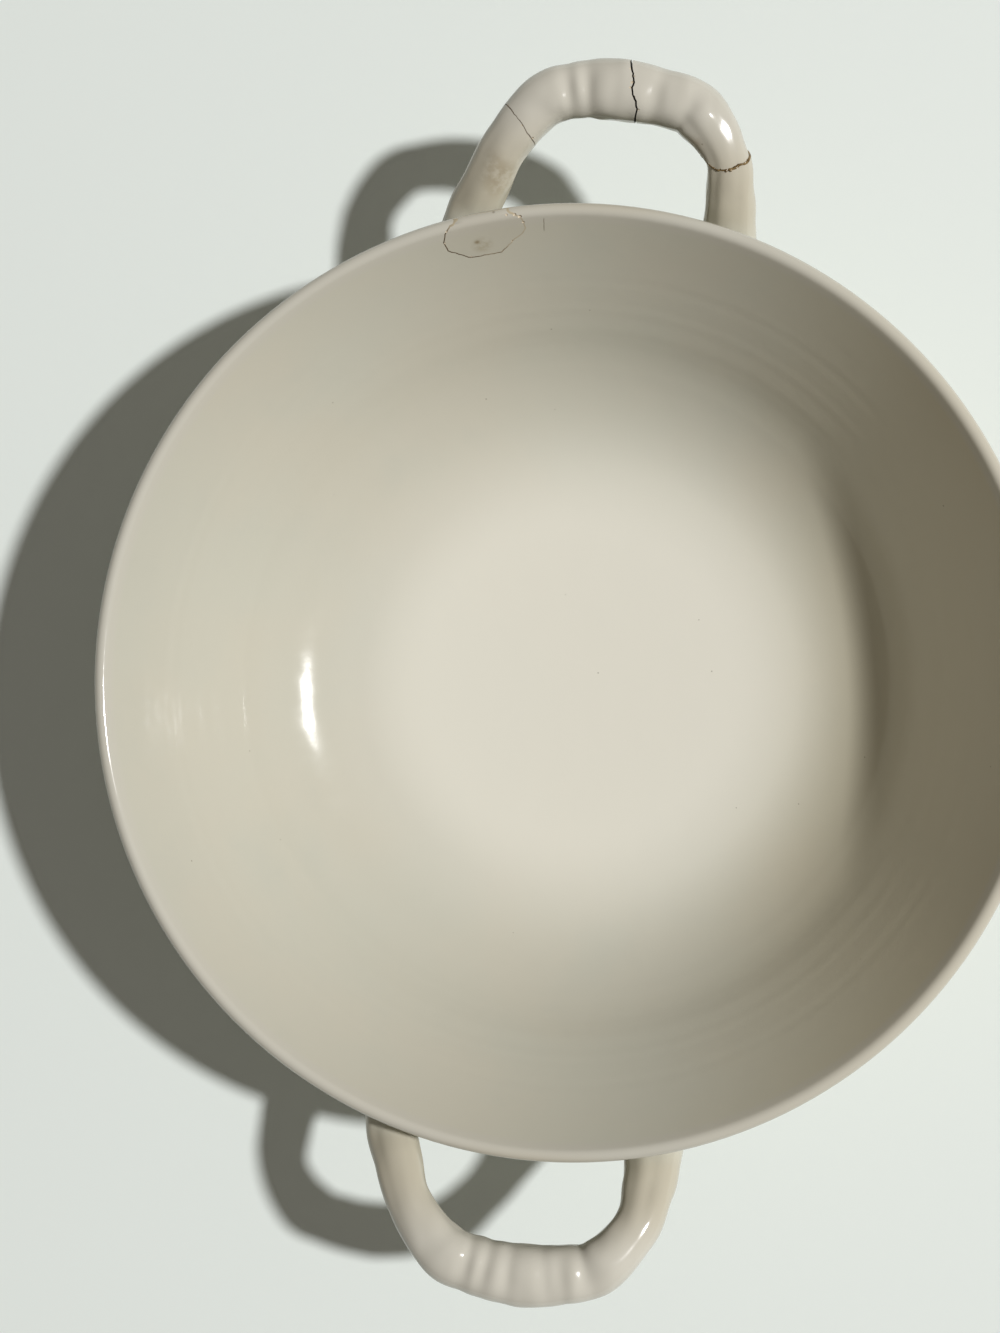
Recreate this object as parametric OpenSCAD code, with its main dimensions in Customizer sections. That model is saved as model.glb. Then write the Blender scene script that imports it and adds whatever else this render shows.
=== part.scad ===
// A wide stoneware bowl with two pulled loop handles, broken and glued back together.
// The far handle is in three lengths: two stubs still on the bowl, and two loose lengths between
// them that were glued in again. A flake of the rim was glued back into its pocket too.
// +Z is up, the handles lie along Y, and the origin is under the middle of the foot.

/* [Bowl] */
// Outer diameter of the rim
rim_d = 282; // [220:1:340]
// Height of the rim above the table
bowl_h = 80; // [64:1:104]
// Thickness of the rounded lip
lip_t = 4.4; // [3:0.1:6.4]
// Thickness of the wall above the floor, and of the floor
wall_t = 6.5; // [5:0.1:10]
// Lean of the inner wall, degrees up from level
wall_lean = 58; // [50:1:66]
// Radius of the curve between floor and wall
floor_bend = 45; // [24:1:50]

/* [Foot] */
// Outer diameter of the foot ring
foot_d = 142; // [110:1:150]
// Height of the foot ring below the base
foot_h = 5.5; // [3:0.1:10]
// Width of the foot ring's face
foot_w = 7; // [4:0.1:12]

/* [Handles] */
// Distance between the middles of a handle's two legs, at the rim
leg_span = 76; // [56:1:96]
// Distance between the two bends at the ends of the grip
grip_span = 45; // [34:1:60]
// Distance from the rim to the middle of the grip
reach = 35.5; // [26:0.5:50]
// Width of the grip at its middle, seen from above
grip_w = 18; // [14:0.5:22]
// Width of a leg at its thinnest
leg_w = 12.8; // [10:0.1:16]
// Width of a leg where it leaves the wall
root_w = 17; // [12:0.5:21]
// Height of a handle's section as a share of its width
flatness = 0.88; // [0.7:0.01:1]
// Depth of the grip's middle below the rim
grip_drop = 8.5; // [6:0.5:14]
// Depth of the roots' middle below the rim
root_drop = 34; // [26:1:44]
// Sideways lean of the far grip
far_lean = 3; // [-4:0.5:4]
// Sideways lean of the near grip
near_lean = -1; // [-4:0.5:4]
// Share of the handles' hand-pulled unevenness, from even to as made
unevenness = 1; // [0:0.1:1.2]

/* [Repair] */
// Width of the three glued cracks across the far handle
crack_t = 0.4; // [0.2:0.05:0.8]
// Depth of the middle crack's glue below the surface of the handle
glue_sink = 1.2; // [0.5:0.1:3]
// Backward tilt of the right crack, degrees
right_tilt = 45; // [0:1:50]
// Thickness of the rim flake
flake_t = 2.6; // [1.5:0.1:3.4]
// Width of the glue round and under the rim flake
flake_glue_t = 0.25; // [0.15:0.05:0.6]
// Bearing of the flake's middle, degrees from +X
flake_az = 104.3; // [95:0.1:115]

/* [Hidden] */
$fn = 360;

GLAZE = [0.79, 0.77, 0.72];
GLAZE_HANDLE = [0.77, 0.74, 0.70];
GLUE = [0.45, 0.33, 0.20];

rim_r = rim_d / 2;
lip_r = lip_t / 2;
lip_c = [rim_r - lip_r, bowl_h - lip_r];
floor_z = foot_h + wall_t;

// Inner wall: a straight line that leaves the lip and runs into the bend of the floor.
in_normal = [-sin(wall_lean), cos(wall_lean)];
in_top = lip_c + lip_r * in_normal;
in_low_z = floor_z + floor_bend * (1 - cos(wall_lean));
in_low = [in_top.x - (in_top.y - in_low_z) / tan(wall_lean), in_low_z];
bend_c = in_low + floor_bend * in_normal;

// Outer wall: from the bend's far side, one wall thickness out, to a tangent on the lip.
out_low = in_low - wall_t * in_normal;
to_lip = lip_c - out_low;
out_lean = atan2(to_lip.y, to_lip.x) - asin(lip_r / norm(to_lip));
out_top = lip_c + lip_r * [sin(out_lean), -cos(out_lean)];

function mix(a, b, t) = a + (b - a) * t;
function arc(c, r, from, to, n) = [for (i = [0:n]) let (a = mix(from, to, i / n)) c + r * [cos(a), sin(a)]];
function inner_r(z) = in_top.x - (in_top.y - z) / tan(wall_lean);
function outer_r(z) = out_top.x - (out_top.y - z) / tan(out_lean);
function middle_r(z) = (inner_r(z) + outer_r(z)) / 2;

// ---- bowl ----

// Outline of the wall and base: inside face down to the axis, then the outside face back up.
module shell_outline() {
    inside = arc(bend_c, floor_bend, wall_lean - 90, -90, 10);
    outside = arc(bend_c, floor_bend + wall_t, -90, wall_lean - 90, 10);
    turns = [out_lean - 90, each [-15:15:135], wall_lean + 90];
    lip = [for (a = turns) lip_c + lip_r * [cos(a), sin(a)]];
    polygon(concat(inside, [[0, floor_z], [0, foot_h]], outside, lip));
}

module foot_outline() {
    edge = foot_w / 5;
    foot_r = foot_d / 2;
    polygon([[foot_r - foot_w, wall_t / 2 + foot_h], [foot_r - foot_w, edge],
             [foot_r - foot_w + edge, 0], [foot_r - edge, 0],
             [foot_r, edge], [foot_r, wall_t / 2 + foot_h]]);
}

module shell() {
    rotate_extrude() shell_outline();
    rotate_extrude() foot_outline();
}

// Everything inside the middle of the wall, which trims the roots of the handles' legs.
module core() {
    rotate_extrude() polygon([[0, foot_h], [middle_r(foot_h), foot_h],
                              [middle_r(bowl_h), bowl_h], [0, bowl_h]]);
}

// ---- handles ----

grip_z = bowl_h - grip_drop;
root_z = bowl_h - root_drop;
rise = grip_z - root_z;
leg_x = leg_span / 2;
grip_x = grip_span / 2;
root_x = leg_x + 4;
root_y = sqrt(pow(middle_r(root_z) - wall_t, 2) - pow(root_x, 2));

// Half of a handle's middle line, from its root in the wall to its grip: across, out, up and width.
HALF = [
    [root_x, root_y, root_z, root_w],
    [mix(root_x, leg_x, 0.5), mix(root_y, rim_r, 0.47), root_z + rise * 0.14, mix(root_w, leg_w, 0.1)],
    [leg_x + 0.5, rim_r - 2, root_z + rise * 0.34, mix(root_w, leg_w, 0.2)],
    [leg_x - 0.7, rim_r + reach * 0.22, root_z + rise * 0.63, mix(root_w, leg_w, 0.6)],
    [mix(leg_x, grip_x, 0.31), rim_r + reach * 0.53, root_z + rise * 0.886, leg_w],
    [grip_x, rim_r + reach * 0.845, root_z + rise * 0.99, mix(leg_w, grip_w, 0.55)],
    [grip_x * 0.54, rim_r + reach * 0.962, grip_z, mix(leg_w, grip_w, 0.85)],
];
MID = [0, rim_r + reach, grip_z, grip_w];

function leaned(p, lean) = [p[0] + lean * max(0, p[1] - rim_r) / reach, p[1], p[2], p[3]];

// The handles were pulled by hand, so the two sides of each differ. For every point of a side, from
// root to grip: how much further across, out and wider it lies than an even handle.
FAR_LEFT = [[5, 0, 0], [5, 0, 0], [3.8, 0, 0.2], [0.2, 0, 0.8], [-1.2, 0.2, 1.4], [0.4, 1.2, 0],
            [0, 0.8, -0.6]];
FAR_RIGHT = [[0, 0, 0], [-0.4, 0, 0], [-0.8, 0, 0.2], [-0.8, 0, 0.3], [0.3, 0, 0.5], [0.6, 0.4, 0.6],
             [0, -0.3, -0.6]];
NEAR_LEFT = [[-1, 0, 0], [-1.4, 0, 0], [-1.6, 0, 0.4], [-1.4, 0, 0.5], [-0.5, 0, 0.3], [0.4, 0.6, 0],
             [0, 0, 0]];
NEAR_RIGHT = [[6, 0, 0], [6.2, 0, 0.4], [5, 0, 0.8], [1.3, 0, 1.2], [0.7, 0.2, 1], [0.8, 0.7, 0.4],
              [0, 0.2, 0]];

function pulled(i, side, uneven) =
    let (p = HALF[i], u = uneven[i] * unevenness) [side * (p[0] + u[0]), p[1] + u[1], p[2], p[3] + u[2]];
function path(lean, left, right) = [
    for (i = [0:len(HALF) - 1]) leaned(pulled(i, -1, left), lean),
    leaned(MID, lean),
    for (i = [len(HALF) - 1:-1:0]) leaned(pulled(i, 1, right), lean)
];

// A smooth curve through the points of a path. At t = 0 it's at the first, and at t = len - 1 the last.
function curve(p, t) =
    let (k = min(floor(t), len(p) - 2), f = t - k,
         a = p[max(k - 1, 0)], b = p[k], c = p[k + 1], d = p[min(k + 2, len(p) - 1)])
    b + 0.5 * f * ((c - a) + f * ((2 * a - 5 * b + 4 * c - d) + f * (3 * b - a - 3 * c + d)));
function place(p, t) = let (q = curve(p, t)) [q[0], q[1], q[2]];
function heading(p, t) =
    let (d = place(p, min(t + 0.02, len(p) - 1)) - place(p, max(t - 0.02, 0))) d / norm(d);

ring_sides = 16;
rings_per_step = 3;

// Points of one ring: an ellipse square to the path, its width level and its height upright.
function ring(p, t, sink) =
    let (q = curve(p, t), along = heading(p, t),
         side = cross(along, [0, 0, 1]) / norm(cross(along, [0, 0, 1])), up = cross(side, along),
         half_w = q[3] / 2 - sink, half_h = q[3] * flatness / 2 - sink)
    [for (i = [0:ring_sides - 1]) let (a = 360 * i / ring_sides)
        place(p, t) + side * half_w * cos(a) + up * half_h * sin(a)];

module tube(p, sink = 0) {
    n = (len(p) - 1) * rings_per_step;
    points = [for (k = [0:n]) each ring(p, k / rings_per_step, sink)];
    sides = [for (k = [0:n - 1], i = [0:ring_sides - 1])
        let (j = (i + 1) % ring_sides, a = k * ring_sides, b = a + ring_sides)
        each [[a + i, a + j, b + j], [a + i, b + j, b + i]]];
    first = [for (i = [ring_sides - 1:-1:0]) i];
    last = [for (i = [0:ring_sides - 1]) n * ring_sides + i];
    polyhedron(points, concat([first, last], sides));
}

far_path = path(far_lean, FAR_LEFT, FAR_RIGHT);
near_path = path(near_lean, NEAR_LEFT, NEAR_RIGHT);

module rooted() {
    difference() {
        children();
        core();
    }
}

module far_handle(sink = 0) tube(far_path, sink);
module near_handle() rotate([0, 0, 180]) tube(near_path);

// ---- cracks across the far handle ----

// Each crack: where it crosses the path, its tilt, and its line as steps [across, along].
LEFT = [4.42, 0, [[-60, -2.2], [-6.7, -2.2], [-5.1, -2.1], [-2.8, -1.4], [0.3, -0.8], [3.4, -0.1],
                  [5.9, 0.4], [60, 0.4]]];
MIDDLE = [7.27, 0, [[-90, 1.9], [-8.4, 1.9], [-6.5, 2.3], [-4.6, 1.5], [-3, 0.2], [-1, -0.3], [0.6, 0.1],
                    [1.7, -0.2], [4.3, -1.3], [7.3, -1.9], [90, -1.9]]];
RIGHT = [9.97, right_tilt, [[-40, -5.4], [-8.8, -5.4], [-6.2, -0.2], [-4.8, 0.9], [-2.7, 1.2],
                            [-0.1, 1.5], [1.9, 1.4], [4.3, 2.1], [8.5, 2.6], [40, 2.6]]];

// The space on one side of a crack: dir is 1 towards the end of the path and -1 towards its start.
// It starts half a crack's width away from the crack's line, or nearer by that much if near is set.
module beyond(crack, dir, near = false, depth = 110) {
    gap = (near ? -1 : 1) * dir * crack_t / 2;
    line = [for (s = crack[2]) [s[1] + gap, s[0]]];
    last = len(line) - 1;
    far_edge = [[dir * depth, line[last].y], [dir * depth, line[0].y]];
    crack_frame(crack) linear_extrude(120, center = true) polygon(concat(line, far_edge));
}

// The glue's slab is long enough to cross the handle and too short to meet its other leg.
module crack_slab(crack, half = 20) {
    line = [for (s = crack[2]) [s[1], max(-half, min(half, s[0]))]];
    low = [for (p = line) p - [crack_t / 2, 0]];
    high = [for (i = [len(line) - 1:-1:0]) line[i] + [crack_t / 2, 0]];
    crack_frame(crack) linear_extrude(120, center = true) polygon(concat(low, high));
}

// Puts +X along the handle's path and +Y across it, at the crack.
module crack_frame(crack) {
    along = heading(far_path, crack[0]);
    translate(place(far_path, crack[0])) rotate([0, 0, atan2(along.y, along.x)])
        rotate([0, crack[1], 0]) children();
}

// ---- flake of the rim ----

// Outline of the flake on the slope of the inner wall: [up the slope from the lip, round the rim].
FLAKE = [[3.5, 4.3], [2.1, 7.6], [1.3, 10.4], [-0.5, 12.2], [-3.6, 13.2], [-7.2, 12.6], [-9.6, 9.8],
         [-11.7, 7.3], [-12.2, 4.6], [-12.3, -2.6], [-9.8, -5.2], [-7.7, -7.3], [-6, -9.9],
         [-4.1, -11.1], [0.1, -10.4], [1.3, -8.8], [2.3, -6.4], [3.5, -2]];

// The outline moved outwards all round by d.
function grown(pts, d) = [for (i = [0:len(pts) - 1])
    let (a = pts[(i + len(pts) - 1) % len(pts)], b = pts[i], c = pts[(i + 1) % len(pts)],
         u = (b - a) / norm(b - a), v = (c - b) / norm(c - b),
         n = [u.y + v.y, -u.x - v.x])
    b + d * n * 2 / (n * n)];

module flake_block(extra) {
    rotate([0, 0, flake_az]) translate([in_top.x, 0, in_top.y]) rotate([0, -wall_lean, 0])
        translate([0, 0, -flake_t - extra]) linear_extrude(flake_t + extra + 6)
            polygon(grown(FLAKE, extra));
}

// ---- pieces ----

module bowl() {
    color(GLAZE) difference() {
        union() {
            shell();
            rooted() near_handle();
            rooted() intersection() {
                far_handle();
                beyond(LEFT, -1);
            }
            rooted() intersection() {
                far_handle();
                beyond(RIGHT, 1);
            }
        }
        flake_block(flake_glue_t);
    }
}

module handle_fragment_left() {
    color(GLAZE_HANDLE) difference() {
        far_handle();
        beyond(LEFT, -1, near = true);
        beyond(MIDDLE, 1, near = true);
    }
}

module handle_fragment_right() {
    color(GLAZE_HANDLE) difference() {
        far_handle();
        beyond(MIDDLE, -1, near = true);
        beyond(RIGHT, 1, near = true);
    }
}

module rim_flake() {
    color(GLAZE) intersection() {
        shell();
        flake_block(0);
    }
}

module handle_glue(crack, sink = 0) {
    color(GLUE) intersection() {
        far_handle(sink);
        crack_slab(crack);
    }
}

module glue_flake() {
    color(GLUE) intersection() {
        shell();
        difference() {
            flake_block(flake_glue_t);
            flake_block(0);
        }
    }
}

bowl();
handle_fragment_left();
handle_fragment_right();
rim_flake();
handle_glue(LEFT);  // glue_left
handle_glue(MIDDLE, glue_sink);  // glue_middle
handle_glue(RIGHT);  // glue_right
glue_flake();
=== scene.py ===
"""A wide glazed stoneware bowl with two pulled loop handles, broken and glued back together.

The bowl is thrown, so its shell is an outline spun round the axis. Each handle is a rope of clay
bent along a smooth path from root to root. The far handle is cut by three rough slabs, which
leaves two stubs on the bowl and two loose fragments, and a flake is cut out of the rim. Every
crack has its own glue.
"""
from math import atan2, cos, exp, hypot, pi, radians, sin, sqrt, tan
from random import Random

import bpy
from mathutils import Matrix, Vector, noise


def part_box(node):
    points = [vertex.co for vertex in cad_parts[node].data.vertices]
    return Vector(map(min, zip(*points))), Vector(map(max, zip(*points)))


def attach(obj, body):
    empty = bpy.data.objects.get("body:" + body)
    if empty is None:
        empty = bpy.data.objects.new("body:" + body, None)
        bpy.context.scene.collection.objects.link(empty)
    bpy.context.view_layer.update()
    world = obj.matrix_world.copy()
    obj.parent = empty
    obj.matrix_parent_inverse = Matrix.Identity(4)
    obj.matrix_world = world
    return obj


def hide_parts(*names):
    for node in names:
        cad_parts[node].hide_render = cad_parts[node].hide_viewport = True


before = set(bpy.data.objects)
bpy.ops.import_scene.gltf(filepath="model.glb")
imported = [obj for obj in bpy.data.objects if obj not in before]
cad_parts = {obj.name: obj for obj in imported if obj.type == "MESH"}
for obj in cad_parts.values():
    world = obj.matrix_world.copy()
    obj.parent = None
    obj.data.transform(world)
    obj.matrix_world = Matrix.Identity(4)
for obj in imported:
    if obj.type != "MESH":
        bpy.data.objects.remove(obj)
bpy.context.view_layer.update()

MM = 0.001

# ---- sizes, all in millimetres and turned to metres where they are used ----

RIM_R = 141
RIM_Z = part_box("bowl")[1].z / MM
LIP_R = 2.2
WALL_T = 6.5
WALL_LEAN = radians(58)
FLOOR_BEND = 45
FOOT_H = 5.5
FOOT_R = 71
FOOT_W = 7

GRIP_W = 18
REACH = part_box("handle_fragment_left")[1].y / MM - RIM_R - GRIP_W / 2
LEG_SPAN = 76
GRIP_SPAN = 45
LEG_W = 12.8
ROOT_W = 17
FLATNESS = 0.88
GRIP_DROP = 8.5
ROOT_DROP = 34
FAR_LEAN = 3
NEAR_LEAN = -1

SPIN_STEPS = 192
ROPE_SIDES = 48
RINGS_PER_STEP = 14


# ---- small helpers ----

def mix(a, b, t):
    return a + (b - a) * t


def smooth(t):
    t = min(max(t, 0), 1)
    return t * t * (3 - 2 * t)


def bell(x, middle, width):
    return exp(-((x - middle) / width) ** 2)


def only(*objects):
    """Selects these objects alone and makes the first one active."""
    for o in bpy.context.selected_objects:
        o.select_set(False)
    for o in objects:
        o.select_set(True)
    bpy.context.view_layer.objects.active = objects[0]


def named(name):
    """The object that an operator has just added, under its own name."""
    piece = bpy.context.object
    piece.name = piece.data.name = name
    return piece


def edit(piece):
    only(piece)
    bpy.ops.object.mode_set(mode="EDIT")
    bpy.ops.mesh.select_all(action="SELECT")


def leave():
    bpy.ops.object.mode_set(mode="OBJECT")


def pick(piece, kind, test):
    """Opens a piece for editing with only its vertices, edges or faces that pass the test selected."""
    edit(piece)
    bpy.ops.mesh.select_mode(type=kind)
    bpy.ops.mesh.select_all(action="DESELECT")
    leave()
    parts = {"VERT": piece.data.vertices, "EDGE": piece.data.edges, "FACE": piece.data.polygons}[kind]
    for part in parts:
        part.select = test(part)
    bpy.ops.object.mode_set(mode="EDIT")


def tidy(piece, nearest=0.00001):
    edit(piece)
    bpy.ops.mesh.select_mode(type="VERT")
    bpy.ops.mesh.select_all(action="SELECT")
    bpy.ops.mesh.remove_doubles(threshold=nearest)
    bpy.ops.mesh.normals_make_consistent(inside=False)
    leave()


def duplicate(piece, name):
    only(piece)
    bpy.ops.object.duplicate()
    return named(name)


def modify(piece, kind, **settings):
    """Adds one modifier with its settings and applies it."""
    only(piece)
    step = piece.modifiers.new(kind.lower(), kind)
    for key, value in settings.items():
        setattr(step, key, value)
    bpy.ops.object.modifier_apply(modifier=step.name)


def boolean(piece, cutter, operation, keep=False):
    """Cuts, joins or intersects piece with cutter, whose faces keep their own material."""
    modify(piece, "BOOLEAN", operation=operation, solver="EXACT", material_mode="TRANSFER", object=cutter)
    if not keep:
        bpy.data.objects.remove(cutter)


def join(*pieces):
    only(*pieces)
    bpy.ops.object.join()
    return pieces[0]


def paint(piece, *materials):
    piece.data.materials.clear()
    for m in materials:
        piece.data.materials.append(m)
    for f in piece.data.polygons:
        f.material_index = 0


def draw_line(name, points):
    """A line drawn point by point: one vertex, extruded from each point to the next."""
    bpy.ops.object.select_all(action="DESELECT")
    bpy.ops.mesh.primitive_plane_add(size=1, location=(0, 0, 0))
    piece = named(name)
    edit(piece)
    bpy.ops.mesh.merge(type="CENTER")
    bpy.ops.transform.translate(value=Vector(points[0]) * MM)
    for a, b in zip(points, points[1:]):
        move = (Vector(b) - Vector(a)) * MM
        bpy.ops.mesh.extrude_region_move(TRANSFORM_OT_translate={"value": move})
    leave()
    return piece


# ---- materials ----

def srgb(code):
    """An sRGB hex colour as linear values."""
    parts = [int(code[i:i + 2], 16) / 255 for i in (1, 3, 5)]
    return [c / 12.92 if c <= 0.04045 else ((c + 0.055) / 1.055) ** 2.4 for c in parts] + [1]


def new_material(name, **sockets):
    """A material whose constant values sit on the shader's own sockets."""
    m = bpy.data.materials.new(name)
    m.use_nodes = True
    shader = m.node_tree.nodes["Principled BSDF"]
    for key, value in sockets.items():
        shader.inputs[key.replace("_", " ")].default_value = value
    return m, shader


def add(m, kind, inputs=(), **settings):
    """Adds one node. Each input, under its name or its place, is a socket to link or a value to set.

    Places stand for names that a node has more than once. Mix: 0 is the share, 6 and 7 are the two
    colours. Map Range: 0 is the value, 1 and 2 are where it starts and ends, 3 and 4 what it becomes.
    """
    n = m.node_tree.nodes.new("ShaderNode" + kind)
    for key, value in settings.items():
        setattr(n, key, value)
    for key, value in dict(inputs).items():
        if isinstance(value, bpy.types.NodeSocket):
            m.node_tree.links.new(value, n.inputs[key])
        else:
            n.inputs[key].default_value = value
    return n.outputs


def link(m, socket, target):
    m.node_tree.links.new(socket, target)


def lumps(where, size_mm, detail=2.0, rough=0.5, seed=0.0):
    """What a noise is given so that its lumps are this many millimetres across."""
    return {"Vector": where, "W": seed, "Scale": 1 / (size_mm * MM), "Detail": detail, "Roughness": rough}


def patches(m, lump, low, high, to=(0, 1)):
    """A noise cut at two of its levels, which leaves soft-edged patches."""
    level = add(m, "TexNoise", lump, noise_dimensions="4D")[0]
    inputs = {0: level, 1: low, 2: high, 3: to[0], 4: to[1]}
    return add(m, "MapRange", inputs, interpolation_type="SMOOTHSTEP")[0]


def zone(m, tone, length, start_mm, end_mm, shares, colour):
    """Lays a colour over a tone, in shares that change smoothly as a length grows."""
    inputs = {0: length, 1: start_mm * MM, 2: end_mm * MM, 3: shares[0], 4: shares[1]}
    share = add(m, "MapRange", inputs, interpolation_type="SMOOTHSTEP")[0]
    return add(m, "Mix", {0: share, 6: tone, 7: colour}, data_type="RGBA")[2]


def spot(m, where, at_mm, inner_mm, outer_mm):
    """1 inside a small ball, fading to 0 at its outer radius."""
    away = add(m, "VectorMath", {0: where, 1: Vector(at_mm) * MM}, operation="DISTANCE")["Value"]
    inputs = {0: away, 1: inner_mm * MM, 2: outer_mm * MM, 3: 1, 4: 0}
    return add(m, "MapRange", inputs, interpolation_type="SMOOTHSTEP")[0]


# Each mark: where, how far it is full, where it ends, its strength, its colour and whether it is patchy.
MARKS = [
    ((-35.0, 127.3, 72.7), 0.8, 4.2, 0.5, "#8F7F58", True),
    ((-36.6, 128.2, 73.6), 0.1, 1.2, 0.8, "#76643F", True),
    ((-31.5, 148.2, 70.0), 1.5, 8.5, 0.5, "#96866A", True),
    ((-33.5, 154.0, 71.0), 0.5, 5.0, 0.35, "#96866A", True),
    ((25.5, 161.0, 72.0), 0.5, 5.0, 0.5, "#A08E78", True),
    ((-31.7, 136.2, 79.5), 0.2, 0.7, 0.6, "#6B5C45", False),
    ((-82.9, -111.3, 79.5), 0.3, 0.55, 0.95, "#241C14", False),
    ((12.6, -177.4, 76.5), 0.25, 0.5, 0.8, "#5B5043", False),
]

# The hairline down the inner wall: the plane that it lies in, and the ball that it ends in.
HAIRLINE_X = -16.7
HAIRLINE_AT = (-16.9, 133.5, 76.8)


def make_glaze(name, dull=0.0):
    """White tin glaze on pale stoneware, dipped and fired.

    It is glassy, so the highlights are sharp. The floor is paler, partly because the glaze pooled thick and
    white there and partly as painted light. It is thinner on the wall, the lip and the handles, where the
    clay under it turns it grey. The +x side carries painted warm shade and the grips a painted sheen.
    """
    m, shader = new_material(name, IOR=1.5)
    here = add(m, "TexCoord")["Object"]
    x, y, z = add(m, "SeparateXYZ", {0: here})
    flat = add(m, "CombineXYZ", {0: x, 1: y})[0]
    radius = add(m, "VectorMath", {0: flat}, operation="LENGTH")["Value"]

    # Broad patches of slightly different greys, 60 mm and 22 mm across.
    share = patches(m, lumps(here, 60), 0.36, 0.64)
    tone = add(m, "Mix", {0: share, 6: srgb("#C1BFB1"), 7: srgb("#C3BFB0")}, data_type="RGBA")[2]
    share = patches(m, lumps(here, 22, 3, 0.6, 3.0), 0.5, 0.8, (0, 0.4))
    tone = add(m, "Mix", {0: share, 6: tone, 7: srgb("#BCBBAE")}, data_type="RGBA")[2]

    # The +x side is painted warmer: painted shade, for the warm light that the lit inner wall throws back
    # onto the shaded wall there.
    tone = zone(m, tone, x, 30, 120, (0, 0.7), srgb("#C6BCA0"))

    # The floor is painted paler: partly glaze that pooled thick and white there, partly a pool of painted
    # light, as the lit wall throws onto it.
    tone = zone(m, tone, radius, 48, 94, (0.85, 0), srgb("#E3E0D4"))

    # It thins over the lip, whose rounding lies in the half plane of radius and height.
    half_plane = add(m, "CombineXYZ", {0: radius, 1: z})[0]
    lip_middle = ((RIM_R - LIP_R) * MM, (RIM_Z - LIP_R) * MM, 0)
    lip = add(m, "VectorMath", {0: half_plane, 1: lip_middle}, operation="DISTANCE")["Value"]
    tone = zone(m, tone, lip, 2.3, 4.2, (0.6, 0), srgb("#C3BFB4"))

    # The handles are darker and yellower near the rim. The grip is painted paler, a painted sheen where its
    # top faces the light, with faint bands across.
    out = add(m, "Math", {0: y}, operation="ABSOLUTE")[0]
    tone = zone(m, tone, out, 136, 143, (0, 1), srgb("#BEB7A5"))
    stretch = add(m, "Mapping", {"Vector": here, "Scale": (1, 0.2, 0.2)})[0]
    bands = patches(m, lumps(stretch, 7, 1, 0.4, 1.7), 0.36, 0.68)
    grip = add(m, "Mix", {0: bands, 6: srgb("#CCC8BC"), 7: srgb("#C3BFB3")}, data_type="RGBA")[2]
    tone = zone(m, tone, out, 150, 170, (0, 1), grip)

    # Iron in the clay comes through as pin-sized brown specks, at most one in 11 mm.
    cell = add(m, "TexVoronoi", {"Vector": here, "Scale": 1 / (11 * MM), "Randomness": 1.0}, feature="F1")
    speck = add(m, "Math", {0: cell["Distance"], 1: 0.024}, operation="LESS_THAN")[0]
    red = add(m, "SeparateColor", {0: cell["Color"]})[0]
    chosen = add(m, "Math", {0: red, 1: 0.45}, operation="GREATER_THAN")[0]
    share = add(m, "Math", {0: speck, 1: chosen}, operation="MULTIPLY")[0]
    share = add(m, "Math", {0: share, 1: 0.5}, operation="MULTIPLY")[0]
    tone = add(m, "Mix", {0: share, 6: tone, 7: srgb("#6E6150")}, data_type="RGBA")[2]

    # Old glue has stained the glaze under the flake and down the far handle's left leg, and single
    # pinholes caught dirt.
    blotches = patches(m, lumps(here, 2.6, 4, 0.6, 5.0), 0.3, 0.62)
    for at, inner, outer, strength, code, patchy in MARKS:
        share = add(m, "Math", {0: spot(m, here, at, inner, outer), 1: strength}, operation="MULTIPLY")[0]
        if patchy:
            share = add(m, "Math", {0: share, 1: blotches}, operation="MULTIPLY")[0]
        tone = add(m, "Mix", {0: share, 6: tone, 7: srgb(code)}, data_type="RGBA")[2]

    # A hairline runs down the inner wall beside the flake. It wanders by a third of a millimetre.
    level = add(m, "TexNoise", lumps(here, 1.5, 2, 0.5, 9.0), noise_dimensions="4D")[0]
    off = add(m, "Math", {0: level, 1: 0.3 * MM, 2: -HAIRLINE_X * MM}, operation="MULTIPLY_ADD")[0]
    off = add(m, "Math", {0: x, 1: off}, operation="ADD")[0]
    off = add(m, "Math", {0: off}, operation="ABSOLUTE")[0]
    inputs = {0: off, 1: 0.05 * MM, 2: 0.2 * MM, 3: 0.7, 4: 0}
    share = add(m, "MapRange", inputs, interpolation_type="SMOOTHSTEP")[0]
    share = add(m, "Math", {0: share, 1: spot(m, here, HAIRLINE_AT, 2.2, 3.2)}, operation="MULTIPLY")[0]
    tone = add(m, "Mix", {0: share, 6: tone, 7: srgb("#6F6450")}, data_type="RGBA")[2]
    if dull:
        # A film of glue that was wiped over it.
        tone = add(m, "Mix", {0: dull * 3, 6: tone, 7: srgb("#A99E8A")}, data_type="RGBA")[2]
    link(m, tone, shader.inputs["Base Color"])

    # Cutlery and stacking have scuffed the floor in short arcs.
    inputs = {0: radius, 1: 20 * MM, 2: 62 * MM, 3: 1, 4: 0}
    scuffed = add(m, "MapRange", inputs, interpolation_type="SMOOTHSTEP")[0]
    streaks = add(m, "Mapping", {"Vector": here, "Rotation": (0, 0, 0.5), "Scale": (1, 0.2, 1)})[0]
    scratches = patches(m, lumps(streaks, 5, 6, 0.7, 8.0), 0.46, 0.72)
    rough = add(m, "Math", {0: scuffed, 1: scratches}, operation="MULTIPLY")[0]
    gloss = patches(m, lumps(here, 9, 2, 0.5, 2.0), 0.3, 0.7, (0.09 + dull, 0.14 + dull))
    rough = add(m, "Math", {0: rough, 1: 0.07, 2: gloss}, operation="MULTIPLY_ADD")[0]
    link(m, rough, shader.inputs["Roughness"])

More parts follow.
